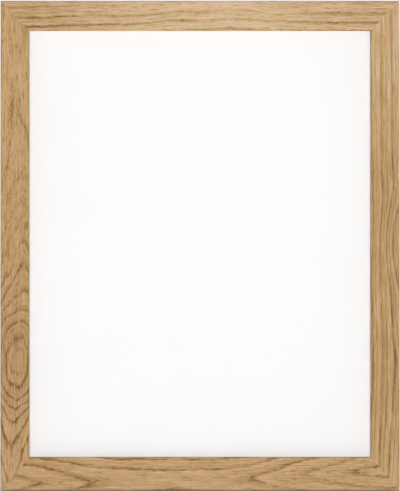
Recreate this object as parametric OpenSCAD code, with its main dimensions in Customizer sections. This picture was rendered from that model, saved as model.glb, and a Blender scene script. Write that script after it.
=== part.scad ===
// Oak picture frame for an 8 x 10 inch sheet, standing on a folding easel strut.
// Lengths are millimetres and angles are degrees. +Z is up, and the picture faces -Y.
// The origin lies on the shelf, under the middle of the standing frame.
// Frame pieces are drawn upright, with the frame's back at y = 0 and its front at negative y,
// and then leant back together. Strut pieces are drawn hanging from the hinge pin.

/* [Picture] */
// Width of the glass, the insert, the card and the board
picture_w = 203; // [150:1:300]
// Height of the glass, the insert, the card and the board
picture_h = 254; // [240:1:400]
// Gap between the sheets and the rabbet, on each side
sheet_clearance = 0.8; // [0.4:0.1:1.5]
// How far the lip covers the sheets at the left and right
side_lap = 4.7; // [3:0.1:6]
// How far the lip covers the sheets at the top and bottom
end_lap = 6.1; // [3:0.1:7]

/* [Moulding] */
// Width of a stile's face
stile_face = 16.2; // [15:0.1:30]
// Width of the top rail's face
top_rail_face = 17; // [16:0.1:30]
// Width of the bottom rail's face
bottom_rail_face = 18.9; // [16:0.1:30]
// Thickness of the lip in front of the glass
lip_depth = 5; // [4:0.5:12]
// Radius of the eased front edges
arris = 0.8; // [0.4:0.1:1.5]

/* [Sheets] */
// Thickness of the glass
glass_t = 2; // [1.5:0.1:3]
// Thickness of the white insert
insert_t = 0.4; // [0.2:0.1:0.6]
// Air left in front of the insert, and behind it
insert_gap = 0.05; // [0.02:0.01:0.1]
// Thickness of the filler card
filler_t = 3.3; // [1:0.1:4]
// Thickness of the backing board
board_t = 3; // [2.5:0.1:4]
// How far the board lies in front of the frame's back
board_recess = 0.2; // [0.1:0.1:0.5]

/* [Corner nails] */
// Distance of a nail's point from the outer side of the frame
v_nail_inset = 8.5; // [7:0.5:9]
// Length of each leg
v_nail_leg = 5; // [3:0.5:5.5]
// Depth that a nail is driven in
v_nail_depth = 7; // [4:0.5:10]
// Thickness of the nail's steel
v_nail_t = 0.6; // [0.4:0.1:0.8]

/* [Turn buttons] */
// Distance of a rail's button from the middle of the rail
rail_button_x = 60; // [45:1:70]
// Distance of a stile's button from the middle of the stile
stile_button_z = 70; // [45:1:90]
// Distance from the screw to the button's tip
button_reach = 12.5; // [11:0.5:14]
// Width of a button
button_w = 6.4; // [5:0.1:8]
// Thickness of a button
button_t = 0.8; // [0.6:0.1:1.2]
// Gap between a button and the wood
button_lift = 0.15; // [0.1:0.05:0.3]
// Radius of a screw's shank
screw_r = 1.1; // [0.8:0.1:1.3]
// Length of a screw under its head
screw_length = 9; // [7:0.5:12]
// Radius of a screw's head
screw_head_r = 2.1; // [1.8:0.1:2.6]
// Height of a screw's head
screw_head_h = 1.3; // [1:0.1:1.8]
// Gap between a button and its screw
button_play = 0.08; // [0.05:0.01:0.1]

/* [Hangers] */
// Length of a saw-tooth hanger
hanger_length = 44; // [36:1:60]
// Width of a hanger, with its teeth
hanger_w = 8; // [7:0.5:9]
// Thickness of a hanger
hanger_t = 0.7; // [0.5:0.1:1]
// How far the toothed middle stands off the wood
hanger_rise = 1.6; // [1:0.1:2.5]
// Length of a flat end
hanger_tab = 7; // [6:0.5:9]
// Length of the slope between a flat end and the middle
hanger_slope = 3; // [2:0.5:5]
// Distance between two teeth
tooth_pitch = 3; // [2:0.5:4]
// Depth of a tooth
tooth_depth = 1.5; // [1:0.1:2]
// Radius of a hanger nail's shank
nail_r = 0.75; // [0.5:0.05:1]
// Length of a hanger nail under its head
nail_length = 8; // [6:0.5:10]
// Radius of a hanger nail's head
nail_head_r = 1.6; // [1.2:0.1:2]
// Height of a hanger nail's head
nail_head_h = 0.8; // [0.5:0.1:1]

/* [Stance] */
// How far the frame leans back
lean = 15; // [10:1:20]
// Angle between the frame and the open strut
strut_open = 30; // [24:1:36]
// Height of the hinge pin up the back
pin_height = 170; // [150:1:190]

/* [Strut] */
// Thickness of the strut's leaf
leaf_t = 3; // [2.5:0.1:4]
// Width of the leaf at the hinge
leaf_top_w = 21.6; // [18:0.1:26]
// Width of the leaf at its foot
leaf_foot_w = 64; // [50:1:80]
// Distance from the pin's middle down to the leaf's top
leaf_top = 3; // [2.5:0.5:5]
// Gap between the folded leaf and the frame's back
leaf_gap = 1.2; // [1:0.1:2]
// Thickness of the hinge's steel
hinge_t = 0.8; // [0.6:0.1:1]
// Gap between the hinge's moving and fixed pieces
hinge_gap = 0.3; // [0.2:0.05:0.4]
// Radius of the hinge pin
pin_r = 1; // [0.8:0.1:1.2]
// Radius of the pin's two heads
pin_head_r = 1.7; // [1.5:0.1:2]
// Thickness of the pin's two heads
pin_head_t = 0.6; // [0.4:0.1:1]
// Gap between the pin and its holes
pin_play = 0.05; // [0.02:0.01:0.08]
// Radius of the clip's ears
clip_ear_r = 2; // [1.8:0.1:2.4]
// How far the clip reaches down the leaf
clip_drop = 20; // [18:1:26]
// Radius of the hinge plate's ears
base_ear_r = 2.6; // [2.2:0.1:2.9]
// How far the hinge plate reaches above the pin
base_top = 26; // [24:1:32]

/* [Rivets] */
// Radius of a rivet's shank
rivet_r = 1.3; // [1:0.1:1.6]
// Radius of a rivet's head
rivet_head_r = 2.5; // [2.2:0.1:3]
// Height of a rivet's head
rivet_head_h = 0.9; // [0.7:0.1:1.2]
// Radius of a rivet's clinched end
rivet_flange_r = 2.3; // [1.8:0.1:2.6]
// Thickness of a rivet's clinched end
rivet_flange_t = 0.6; // [0.4:0.1:0.8]
// Distance of a board rivet from the middle
board_rivet_x = 8; // [6:0.5:9]
// Height of the lower board rivets above the pin
board_rivet_low = 12; // [11:0.5:14]
// Height of the upper board rivets above the pin
board_rivet_high = 21; // [18:0.5:22]
// Distance of a strut rivet from the middle
strut_rivet_x = 6; // [5:0.5:7]
// Distance of the strut rivets below the pin
strut_rivet_drop = 13; // [11:1:15]

/* [Hidden] */
$fn = 48;

// Cuts run this far past the faces that they open
overrun = 1;
// Gap between a driven nail, screw or rivet and its hole
driven_fit = 0.03;
// Gap between a screw's head and its button
head_gap = 0.1;
// Gap between the open strut's stop tab and the hinge plate
stop_gap = 0.1;
// Gap between the leaf and the clip's ears
clip_fit = 0.1;
// Gap left in front of a clinched rivet's end, inside the board
rivet_sink = 0.1;

// Radius of a domed head's sphere, as a share of the head's radius
dome_share = 1.6;
// The cross in a screw's head: its length, width and depth as shares of the head's
cross_length_share = 0.6;
cross_width_share = 0.12;
cross_depth_share = 0.5;

// Colours
oak_colour = "#B8936B";
steel_colour = "#B9BABA";
brass_colour = "#B89A5A";
board_colour = "#7A5A3E";
card_colour = "#A7A39B";
insert_colour = "#FAFAF8";
glass_colour = [0.85, 0.93, 0.92, 0.35];

// The frame's front view: the window and the outline
window_w = picture_w - 2 * side_lap;
window_h = picture_h - 2 * end_lap;
frame_w = window_w + 2 * stile_face;
frame_h = window_h + bottom_rail_face + top_rail_face;
outer_x = frame_w / 2;
window_x = window_w / 2;
window_low = bottom_rail_face;
window_high = frame_h - top_rail_face;

// The wood behind the lip, beside the sheets
stile_wall = stile_face - side_lap - sheet_clearance;
top_wall = top_rail_face - end_lap - sheet_clearance;
bottom_wall = bottom_rail_face - end_lap - sheet_clearance;

// The sheets, from the lip to the back
rabbet_depth = glass_t + insert_t + 2 * insert_gap + filler_t + board_t + board_recess;
moulding_depth = lip_depth + rabbet_depth;
glass_y = -rabbet_depth;
insert_y = glass_y + glass_t + insert_gap;
filler_y = insert_y + insert_t + insert_gap;
board_y = filler_y + filler_t;
board_back = board_y + board_t;
sheet_low = bottom_wall + sheet_clearance;

// The hinge: depths from the frame's back, then from the pin
pin_out = board_back + hinge_t + hinge_gap + clip_ear_r;
leaf_front = leaf_gap - pin_out;
leaf_back = leaf_front + leaf_t;
clip_back = leaf_back + hinge_t;
clip_inner_x = leaf_top_w / 2 + clip_fit;
clip_x = clip_inner_x + hinge_t;
base_inner_x = clip_x + hinge_gap;
base_x = base_inner_x + hinge_t;

// The tab above the pin that meets the hinge plate when the strut is open
plate_from_pin = pin_out - board_back - hinge_t;
stop_tab = (leaf_back * cos(strut_open) + plate_from_pin - stop_gap) / sin(strut_open);

// Where the pin and the strut's foot stand, from the edge that the frame stands on
strut_tilt = strut_open - lean;
pin_y = pin_out * cos(lean) + pin_height * sin(lean);
pin_z = pin_height * cos(lean) - pin_out * sin(lean);
front_y = (arris - moulding_depth) * cos(lean) + arris * sin(lean) - arris;
foot_y = pin_y + pin_z * tan(strut_tilt) + leaf_back / cos(strut_tilt);
origin_y = -(front_y + foot_y) / 2;

// Each turn button's place: x, z, and the turn from pointing up to pointing at the board
button_places = [
    [-rail_button_x, frame_h - top_wall / 2, 180],
    [rail_button_x, frame_h - top_wall / 2, 180],
    [-rail_button_x, bottom_wall / 2, 0],
    [rail_button_x, bottom_wall / 2, 0],
    [stile_wall / 2 - outer_x, frame_h / 2 + stile_button_z, 90],
    [stile_wall / 2 - outer_x, frame_h / 2 - stile_button_z, 90],
    [outer_x - stile_wall / 2, frame_h / 2 + stile_button_z, -90],
    [outer_x - stile_wall / 2, frame_h / 2 - stile_button_z, -90]
];

// The hangers' places: x, z, and the turn from lying along the top rail
hanger_top = [0, frame_h - top_wall / 2, 0];
hanger_side = [stile_wall / 2 - outer_x, frame_h / 2, -90];
hanger_nail_x = (hanger_length - hanger_tab) / 2;

// Leans the upright frame back about the edge that it stands on
module leaning() {
    translate([0, origin_y, 0]) rotate([-lean, 0, 0]) children();
}

// Hangs a strut piece from the hinge pin, opened
module opened() {
    translate([0, origin_y + pin_y, pin_z]) rotate([strut_tilt, 0, 0]) children();
}

// Stands a shape that was drawn along +Z out of the frame's back, along +Y
module outward() {
    rotate([-90, 0, 0]) children();
}

// Turns a shape into place on the frame's back: x, z, then the turn clockwise from the front
module at_place(place) {
    translate([place[0], 0, place[1]]) rotate([0, place[2], 0]) children();
}

// The moulding's section: x runs inwards from the outer edge, and y = 0 is the back
module moulding_section(face, wall) {
    translate([0, -rabbet_depth]) square([wall, rabbet_depth]);
    translate([0, arris - moulding_depth]) square([face, lip_depth - arris]);
    translate([arris, -moulding_depth]) square([face - 2 * arris, arris]);
    for (x = [arris, face - arris])
        translate([x, arris - moulding_depth]) circle(arris);
}

// A full-length stile at the left, before its mitres
module stile_length() {
    translate([-outer_x, 0, 0])
        linear_extrude(frame_h) moulding_section(stile_face, stile_wall);
}

// A full-length rail at the bottom, before its mitres
module rail_length(face, wall) {
    rotate([0, -90, 0])
        linear_extrude(frame_w, center = true) moulding_section(face, wall);
}

// Keeps what lies inside an outline in the front view
module mitred(outline) {
    intersection() {
        children();
        translate([0, overrun, 0]) rotate([90, 0, 0])
            linear_extrude(moulding_depth + 2 * overrun) polygon(outline);
    }
}

// One V nail across the mitre at the bottom left, under a rail of the given face
module v_nail(face) {
    translate([v_nail_inset - outer_x, -v_nail_depth, v_nail_inset * face / stile_face]) {
        translate([-v_nail_leg, 0, -v_nail_t / 2])
            cube([v_nail_leg + v_nail_t / 2, v_nail_depth, v_nail_t]);
        translate([-v_nail_t / 2, 0, -v_nail_leg])
            cube([v_nail_t, v_nail_depth, v_nail_leg + v_nail_t / 2]);
    }
}

// The four V nails, upright
module v_nails() {
    for (side = [0, 1]) mirror([side, 0, 0]) {
        v_nail(bottom_rail_face);
        translate([0, 0, frame_h]) mirror([0, 0, 1]) v_nail(top_rail_face);
    }
}

// Blind holes for the screws and the hanger nails
module fastener_holes() {
    for (place = button_places) at_place(place)
        outward() translate([0, 0, -screw_length])
            cylinder(r = screw_r + driven_fit, h = screw_length + overrun);
    for (place = [hanger_top, hanger_side], side = [-1, 1]) at_place(place)
        translate([side * hanger_nail_x, 0, 0])
            outward() translate([0, 0, -nail_length])
                cylinder(r = nail_r + driven_fit, h = nail_length + overrun);
}

// A finished member: its mitred length, less the slots and holes in its back
module member(outline) {
    color(oak_colour) leaning() difference() {
        mitred(outline) children();
        v_nails();
        fastener_holes();
    }
}

module left_stile() {
    member([[-outer_x, 0], [-window_x, window_low], [-window_x, window_high], [-outer_x, frame_h]])
        stile_length();
}

module right_stile() {
    member([[outer_x, 0], [window_x, window_low], [window_x, window_high], [outer_x, frame_h]])
        mirror([1, 0, 0]) stile_length();
}

module top_rail() {
    member([[-outer_x, frame_h], [-window_x, window_high], [window_x, window_high], [outer_x, frame_h]])
        translate([0, 0, frame_h]) mirror([0, 0, 1]) rail_length(top_rail_face, top_wall);
}

module bottom_rail() {
    member([[-outer_x, 0], [-window_x, window_low], [window_x, window_low], [outer_x, 0]])
        rail_length(bottom_rail_face, bottom_wall);
}

module corner_v_nails() {
    color(steel_colour) leaning() v_nails();
}

// A sheet in the rabbet, from a depth
module sheet(depth, thickness) {
    translate([-picture_w / 2, depth, sheet_low]) cube([picture_w, thickness, picture_h]);
}

module glass_pane() {
    color(glass_colour) leaning() sheet(glass_y, glass_t);
}

module picture_insert() {
    color(insert_colour) leaning() sheet(insert_y, insert_t);
}

module filler_card() {
    color(card_colour) leaning() sheet(filler_y, filler_t);
}

// Puts its children at each board rivet
module at_board_rivets() {
    for (x = [-board_rivet_x, board_rivet_x], z = [board_rivet_low, board_rivet_high])
        translate([x, board_back, pin_height + z]) outward() children();
}

module backing_board() {
    color(board_colour) leaning() difference() {
        sheet(board_y, board_t);
        at_board_rivets() translate([0, 0, -board_t]) {
            translate([0, 0, -overrun])
                cylinder(r = rivet_r + driven_fit, h = board_t + 2 * overrun);
            translate([0, 0, -overrun])
                cylinder(r = rivet_flange_r + driven_fit, h = overrun + rivet_flange_t + rivet_sink);
        }
    }
}

// A turn button: a flat plate with round ends, turning on a hole at one of them
module turn_button(place) {
    color(brass_colour) leaning() translate([0, button_lift, 0]) at_place(place) difference() {
        union() {
            outward() cylinder(r = button_w / 2, h = button_t);
            translate([-button_w / 2, 0, 0]) cube([button_w, button_t, button_reach - button_w / 2]);
            translate([0, 0, button_reach - button_w / 2])
                outward() cylinder(r = button_w / 2, h = button_t);
        }
        translate([0, -overrun, 0])
            outward() cylinder(r = screw_r + button_play, h = button_t + 2 * overrun);
    }
}

module turn_button_top_left() {
    turn_button(button_places[0]);
}

module turn_button_top_right() {
    turn_button(button_places[1]);
}

module turn_button_bottom_left() {
    turn_button(button_places[2]);
}

module turn_button_bottom_right() {
    turn_button(button_places[3]);
}

module turn_button_left_upper() {
    turn_button(button_places[4]);
}

module turn_button_left_lower() {
    turn_button(button_places[5]);
}

module turn_button_right_upper() {
    turn_button(button_places[6]);
}

module turn_button_right_lower() {
    turn_button(button_places[7]);
}

// A domed head of a given radius and height
module domed_head(radius, height) {
    dome_r = radius * dome_share;
    intersection() {
        cylinder(r = radius, h = height);
        translate([0, 0, height - dome_r]) sphere(dome_r);
    }
}

// A cross-head screw drawn along +Z, with the underside of its head at zero
module screw() {
    head_y = button_lift + button_t + head_gap;
    cross_l = 2 * screw_head_r * cross_length_share;
    cross_w = 2 * screw_head_r * cross_width_share;
    translate([0, 0, head_y]) difference() {
        domed_head(screw_head_r, screw_head_h);
        translate([0, 0, screw_head_h * (1 - cross_depth_share)])
            for (turn = [0, 90]) rotate([0, 0, turn])
                translate([-cross_l / 2, -cross_w / 2, 0]) cube([cross_l, cross_w, screw_head_h]);
    }
    translate([0, 0, -screw_length]) cylinder(r = screw_r, h = screw_length + head_y);
}

module turn_button_screws() {
    color(steel_colour) leaning()
        for (place = button_places) at_place(place) outward() screw();
}

// A hanger's outline: x along it, y up, with the teeth along its lower edge
module hanger_outline() {
    toothed = hanger_length - 2 * (hanger_tab + hanger_slope);
    teeth = floor(toothed / tooth_pitch);
    first = -teeth * tooth_pitch / 2;
    difference() {
        translate([-hanger_length / 2, -hanger_w / 2]) square([hanger_length, hanger_w]);
        for (i = [0 : teeth - 1]) translate([first + i * tooth_pitch, -hanger_w / 2])
            polygon([[0, -overrun], [0, 0], [tooth_pitch / 2, tooth_depth],
                     [tooth_pitch, 0], [tooth_pitch, -overrun]]);
    }
}

// A hanger's bridge, seen from below: flat ends on the wood and a raised middle
module hanger_bridge() {
    half = hanger_length / 2;
    tab = half - hanger_tab;
    middle = tab - hanger_slope;
    polygon([
        [-half, 0], [-tab, 0], [-middle, hanger_rise], [middle, hanger_rise], [tab, 0], [half, 0],
        [half, hanger_t], [tab, hanger_t], [middle, hanger_rise + hanger_t],
        [-middle, hanger_rise + hanger_t], [-tab, hanger_t], [-half, hanger_t]
    ]);
}

module sawtooth_hanger(place) {
    reach = hanger_rise + hanger_t + overrun;
    color(steel_colour) leaning() at_place(place) difference() {
        intersection() {
            translate([0, reach, 0]) rotate([90, 0, 0]) linear_extrude(reach + overrun) hanger_outline();
            translate([0, 0, -hanger_w]) linear_extrude(2 * hanger_w) hanger_bridge();
        }
        for (side = [-1, 1]) translate([side * hanger_nail_x, -overrun, 0])
            outward() cylinder(r = nail_r + driven_fit, h = hanger_t + 2 * overrun);
    }
}

module sawtooth_hanger_top() {
    sawtooth_hanger(hanger_top);
}

module sawtooth_hanger_side() {
    sawtooth_hanger(hanger_side);
}

module hanger_nails() {
    color(steel_colour) leaning()
        for (place = [hanger_top, hanger_side], side = [-1, 1]) at_place(place)
            translate([side * hanger_nail_x, 0, 0]) outward() {
                translate([0, 0, hanger_t]) domed_head(nail_head_r, nail_head_h);
                translate([0, 0, -nail_length]) cylinder(r = nail_r, h = nail_length + hanger_t);
            }
}

// Distance down the strut from the pin to the shelf, at a depth in the leaf
function to_shelf(depth) = (pin_z + depth * sin(strut_tilt)) / cos(strut_tilt);

// The leaf hangs just under the pin, keeps its width inside the clip, and then widens
module strut_leaf() {
    length = to_shelf(leaf_back) + overrun;
    color(board_colour) opened() difference() {
        intersection() {
            translate([0, pin_out + leaf_t, 0]) rotate([90, 0, 0])
                linear_extrude(2 * (pin_out + leaf_t)) polygon([
                    [-leaf_top_w / 2, -leaf_top], [-leaf_top_w / 2, -clip_drop],
                    [-leaf_foot_w / 2, -length], [leaf_foot_w / 2, -length],
                    [leaf_top_w / 2, -clip_drop], [leaf_top_w / 2, -leaf_top]
                ]);
            rotate([0, -90, 0]) linear_extrude(leaf_foot_w, center = true)
                polygon([
                    [-leaf_top, leaf_front], [-leaf_top, leaf_back],
                    [-to_shelf(leaf_back), leaf_back], [-to_shelf(leaf_front), leaf_front]
                ]);
        }
        at_strut_rivets() translate([0, 0, -overrun])
            cylinder(r = rivet_r + driven_fit, h = leaf_t + hinge_t + 2 * overrun);
    }
}

// Puts its children at each strut rivet, on the leaf's front
module at_strut_rivets() {
    for (x = [-strut_rivet_x, strut_rivet_x])
        translate([x, leaf_front, -strut_rivet_drop]) outward() children();
}

// An upright ear round the pin, from x inwards, joined to a web at a depth
module ear(x, radius, web, low, high) {
    translate([x, 0, 0]) rotate([0, 90, 0]) cylinder(r = radius, h = hinge_t);
    translate([x, min(web, 0), low]) cube([hinge_t, abs(web), high - low]);
}

// The pin's hole through both ears
module pin_hole(reach) {
    rotate([0, 90, 0]) cylinder(r = pin_r + pin_play, h = 2 * (reach + overrun), center = true);
}

module strut_hinge_base() {
    web = board_back - pin_out;
    color(steel_colour) leaning() difference() {
        translate([0, pin_out, pin_height]) difference() {
            union() {
                translate([-base_x, web, -base_ear_r]) cube([2 * base_x, hinge_t, base_top + base_ear_r]);
                ear(-base_x, base_ear_r, web, -base_ear_r, base_ear_r);
                ear(base_inner_x, base_ear_r, web, -base_ear_r, base_ear_r);
            }
            pin_hole(base_x);
        }
        at_board_rivets() translate([0, 0, -overrun])
            cylinder(r = rivet_r + driven_fit, h = hinge_t + 2 * overrun);
    }
}

module strut_hinge_clip() {
    color(steel_colour) opened() difference() {
        union() {
            translate([-clip_x, leaf_back, -clip_drop]) cube([2 * clip_x, hinge_t, clip_drop + stop_tab]);
            ear(-clip_x, clip_ear_r, clip_back, -clip_drop / 2, clip_ear_r);
            ear(clip_inner_x, clip_ear_r, clip_back, -clip_drop / 2, clip_ear_r);
        }
        pin_hole(clip_x);
        at_strut_rivets() translate([0, 0, leaf_t - overrun])
            cylinder(r = rivet_r + driven_fit, h = hinge_t + 2 * overrun);
    }
}

module strut_hinge_pin() {
    color(steel_colour) leaning() translate([0, pin_out, pin_height]) rotate([0, 90, 0]) {
        cylinder(r = pin_r, h = 2 * base_x, center = true);
        for (side = [0, 1]) mirror([0, 0, side])
            translate([0, 0, base_x]) cylinder(r = pin_head_r, h = pin_head_t);
    }
}

// A rivet through a thickness of zero upwards: clinched below, domed on top
module rivet(grip) {
    cylinder(r = rivet_r, h = grip);
    translate([0, 0, grip]) domed_head(rivet_head_r, rivet_head_h);
}

module board_rivets() {
    color(steel_colour) leaning() at_board_rivets() translate([0, 0, rivet_sink - board_t]) {
        rivet(board_t - rivet_sink + hinge_t);
        cylinder(r = rivet_flange_r, h = rivet_flange_t);
    }
}

module strut_rivets() {
    color(steel_colour) opened() at_strut_rivets() {
        rivet(leaf_t + hinge_t);
        translate([0, 0, -rivet_flange_t]) cylinder(r = rivet_flange_r, h = rivet_flange_t);
    }
}

left_stile();
right_stile();
top_rail();
bottom_rail();
corner_v_nails();
glass_pane();
picture_insert();
filler_card();
backing_board();
turn_button_top_left();
turn_button_top_right();
turn_button_bottom_left();
turn_button_bottom_right();
turn_button_left_upper();
turn_button_left_lower();
turn_button_right_upper();
turn_button_right_lower();
turn_button_screws();
sawtooth_hanger_top();
sawtooth_hanger_side();
hanger_nails();
strut_leaf();
strut_hinge_base();
strut_hinge_clip();
strut_hinge_pin();
board_rivets();
strut_rivets();
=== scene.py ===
"""Oak photo frame for an 8 x 10 inch sheet, leaning back on a folding easel strut.

The CAD nodes hold every size. This script gives each of them its finish, puts softened metalwork in
the place of the stamped and turned fittings, and sets an even studio round the frame.
"""

import logging
import math
from collections.abc import Mapping, Sequence
from dataclasses import dataclass
from enum import Enum

import bmesh
import bpy
from mathutils import Matrix, Vector


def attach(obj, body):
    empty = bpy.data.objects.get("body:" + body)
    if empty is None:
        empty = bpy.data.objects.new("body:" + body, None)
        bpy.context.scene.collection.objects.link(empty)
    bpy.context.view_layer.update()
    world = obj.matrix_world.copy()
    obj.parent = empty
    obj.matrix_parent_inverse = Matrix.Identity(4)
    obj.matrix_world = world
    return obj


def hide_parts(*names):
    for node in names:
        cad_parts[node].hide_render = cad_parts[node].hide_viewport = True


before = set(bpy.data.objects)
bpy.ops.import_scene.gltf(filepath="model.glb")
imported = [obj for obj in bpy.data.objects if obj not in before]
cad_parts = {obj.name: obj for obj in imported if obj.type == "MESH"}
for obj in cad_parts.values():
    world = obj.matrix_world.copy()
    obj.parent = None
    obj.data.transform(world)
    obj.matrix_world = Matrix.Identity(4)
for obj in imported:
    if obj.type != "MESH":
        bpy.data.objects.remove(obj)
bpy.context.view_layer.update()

MM = 0.001
# The angle past which an edge is shaded sharp, the one past which it is rounded, and the one up to
# which two faces of a CAD mesh count as one.
CREASE_DEGREES = 30
ROUNDED_DEGREES = 35
FLAT_DEGREES = 1
# How near two corners of a CAD mesh, or of a turned solid's seam, are when they are the same.
MERGE_MM = 0.001
SEAM_MM = 0.0005
LOG = logging.getLogger("oak_frame")

Colour = tuple[float, float, float, float]
Node = bpy.types.Node


def linear(hex_colour: str) -> Colour:
    """Turns an sRGB hex colour into the linear colour that a shader reads.

    Args:
        hex_colour: Six hex digits with a leading #.

    Returns:
        Linear red, green and blue, and an alpha of 1.
    """
    shares = [int(hex_colour[i:i + 2], 16) / 255 for i in (1, 3, 5)]
    red, green, blue = (s / 12.92 if s <= 0.04045 else ((s + 0.055) / 1.055) ** 2.4 for s in shares)
    return red, green, blue, 1.0


def grey(level: float) -> Colour:
    """Gives a linear grey of one level, for a white light or for a ramp that carries a number."""
    return level, level, level, 1.0


class ShaderTree:
    """The shader tree of a material or of the world, while it is put together."""

    def __init__(self, owner: bpy.types.Material | bpy.types.World) -> None:
        """Empties the owner's tree.

        Args:
            owner: The material or the world.
        """
        owner.use_nodes = True
        self.tree = owner.node_tree
        self.tree.nodes.clear()

    def add(
        self,
        kind: str,
        inputs: Mapping[int | str, object] | Sequence[object] = (),
        stops: Sequence[tuple[float, object]] = (),
        **settings: object,
    ) -> Node:
        """Adds one node with its settings and links.

        Args:
            kind: The node's type, without its ShaderNode prefix.
            inputs: What the inputs get, in their order or under their names or numbers: a value, an
                output, or a node for its first output.
            stops: Places and values along a colour ramp or a float curve.
            settings: The node's own options.

        Returns:
            The new node.
        """
        node = self.tree.nodes.new(f"ShaderNode{kind}")
        for option, value in settings.items():
            setattr(node, option, value)
        for socket, value in inputs.items() if isinstance(inputs, Mapping) else enumerate(inputs):
            if isinstance(value, Node):
                value = value.outputs[0]
            if isinstance(value, bpy.types.NodeSocket):
                self.tree.links.new(value, node.inputs[socket])
            else:
                node.inputs[socket].default_value = value
        if kind == "ValToRGB":
            marks = node.color_ramp.elements
            while len(marks) < len(stops):
                marks.new(0.5)
            for mark, (place, value) in zip(marks, stops):
                mark.position, mark.color = place, value
        elif kind == "FloatCurve":
            marks = node.mapping.curves[0].points
            while len(marks) < len(stops):
                marks.new(0.5, 0.5)
            for mark, (place, value) in zip(marks, stops):
                mark.location = (place, value)
            node.mapping.update()
        return node


def new_material(name: str) -> tuple[bpy.types.Material, ShaderTree]:
    """Makes a material of the real one's name, and gives it with its empty tree."""
    material = bpy.data.materials.new(name)
    return material, ShaderTree(material)


@dataclass(frozen=True)
class Patches:
    """A noise that lies in patches of a real size.

    Args:
        size: One patch's millimetres along X, Y and Z.
        detail: How many finer octaves it has.
        turn: Radians that the patches are turned round Y.
        roughness: How strong the finer octaves are.
    """

    size: tuple[float, float, float]
    detail: float = 3
    turn: float = 0.0
    roughness: float = 0.5

    def spread(
        self,
        tree: ShaderTree,
        over: Node | bpy.types.NodeSocket,
        unit: float = MM,
        shift: tuple[float, float, float] = (0, 0, 0),
    ) -> Node:
        """Spreads the noise over a surface.

        Args:
            tree: The tree that takes it.
            over: The coordinates that place it.
            unit: What one millimetre is in those coordinates.
            shift: How far the noise is moved, in patches.

        Returns:
            The noise's node.
        """
        turn, scale = (0, self.turn, 0), tuple(1 / (side * unit) for side in self.size)
        spot = {"Vector": over, "Location": shift, "Rotation": turn, "Scale": scale}
        noise = {"Scale": 1, "Detail": self.detail, "Roughness": self.roughness}
        return tree.add("TexNoise", {"Vector": tree.add("Mapping", spot), **noise})


def grained(across: float, along: float, detail: float) -> Patches:
    """Gives patches stretched along a board's grain, by their millimetres across and along it."""
    return Patches((across, across, along), detail, roughness=0.55)


@dataclass(frozen=True)
class Stance:
    """How the upright frame is leant back on the shelf, as the CAD has it, in metres."""

    lean: float = math.radians(15)
    origin_y: float = -39.3006 * MM
    front_y: float = -14 * MM

    def place(self) -> Matrix:
        """Gives the matrix that leans an upright frame's points back."""
        return Matrix.Translation((0, self.origin_y, 0)) @ Matrix.Rotation(-self.lean, 4, "X")

    def undo_location(self) -> Vector:
        """Gives the shift in millimetres, after the turn, that stands the frame's points upright."""
        turned_up = Matrix.Rotation(self.lean, 3, "X") @ Vector((0, self.origin_y, 0))
        return -turned_up / MM


@dataclass(frozen=True)
class Photo:
    """The photograph's frame, and where the oak frame's face lies in it, in pixels."""

    width: int = 400
    per_mm: float = 1.763
    middle_x: float = 199.8
    left: float = 0.6
    right: float = 399.05
    top: float = 0.65
    bottom: float = 490.5

    def across_mm(self, x: float) -> float:
        """Turns a column of the photograph into millimetres right of the frame's middle."""
        return (x - self.middle_x) / self.per_mm

    def up_mm(self, y: float) -> float:
        """Turns a row of the photograph into millimetres up from the frame's lower edge."""
        return (self.bottom - y) / self.per_mm


STANCE = Stance()
PHOTO = Photo()


class Run(Enum):
    """Which way a board's grain runs in the frame."""

    UP = "up"
    ACROSS = "across"


@dataclass(frozen=True)
class Knot:
    """Where the growth rings stand at one place along a board, in the photograph's pixels.

    Args:
        at: The place along the board.
        spine: Where the rings' middle line passes, across the board.
        rings: How many rings deep the face cuts there.
        tone: How light the wood is there, from 0 to 1.
        mark: How strongly the rings show there: 0 hides them, and 1 is plain.
        blunt: How round the rings' ends are there, from 0, pointed, to 1, round.
    """

    at: float
    spine: float
    rings: float
    tone: float
    mark: float
    blunt: float = 0.0


@dataclass(frozen=True)
class Swell:
    """A swirl where the rings part round a small knot or burr, in the photograph's pixels.

    Args:
        at: Its middle along the board.
        across: Its middle across the board.
        reach: Half its length along the board.
        spread: Half its width across the board.
        lift: How many rings it adds at its middle.
    """

    at: float
    across: float
    reach: float
    spread: float
    lift: float


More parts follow.
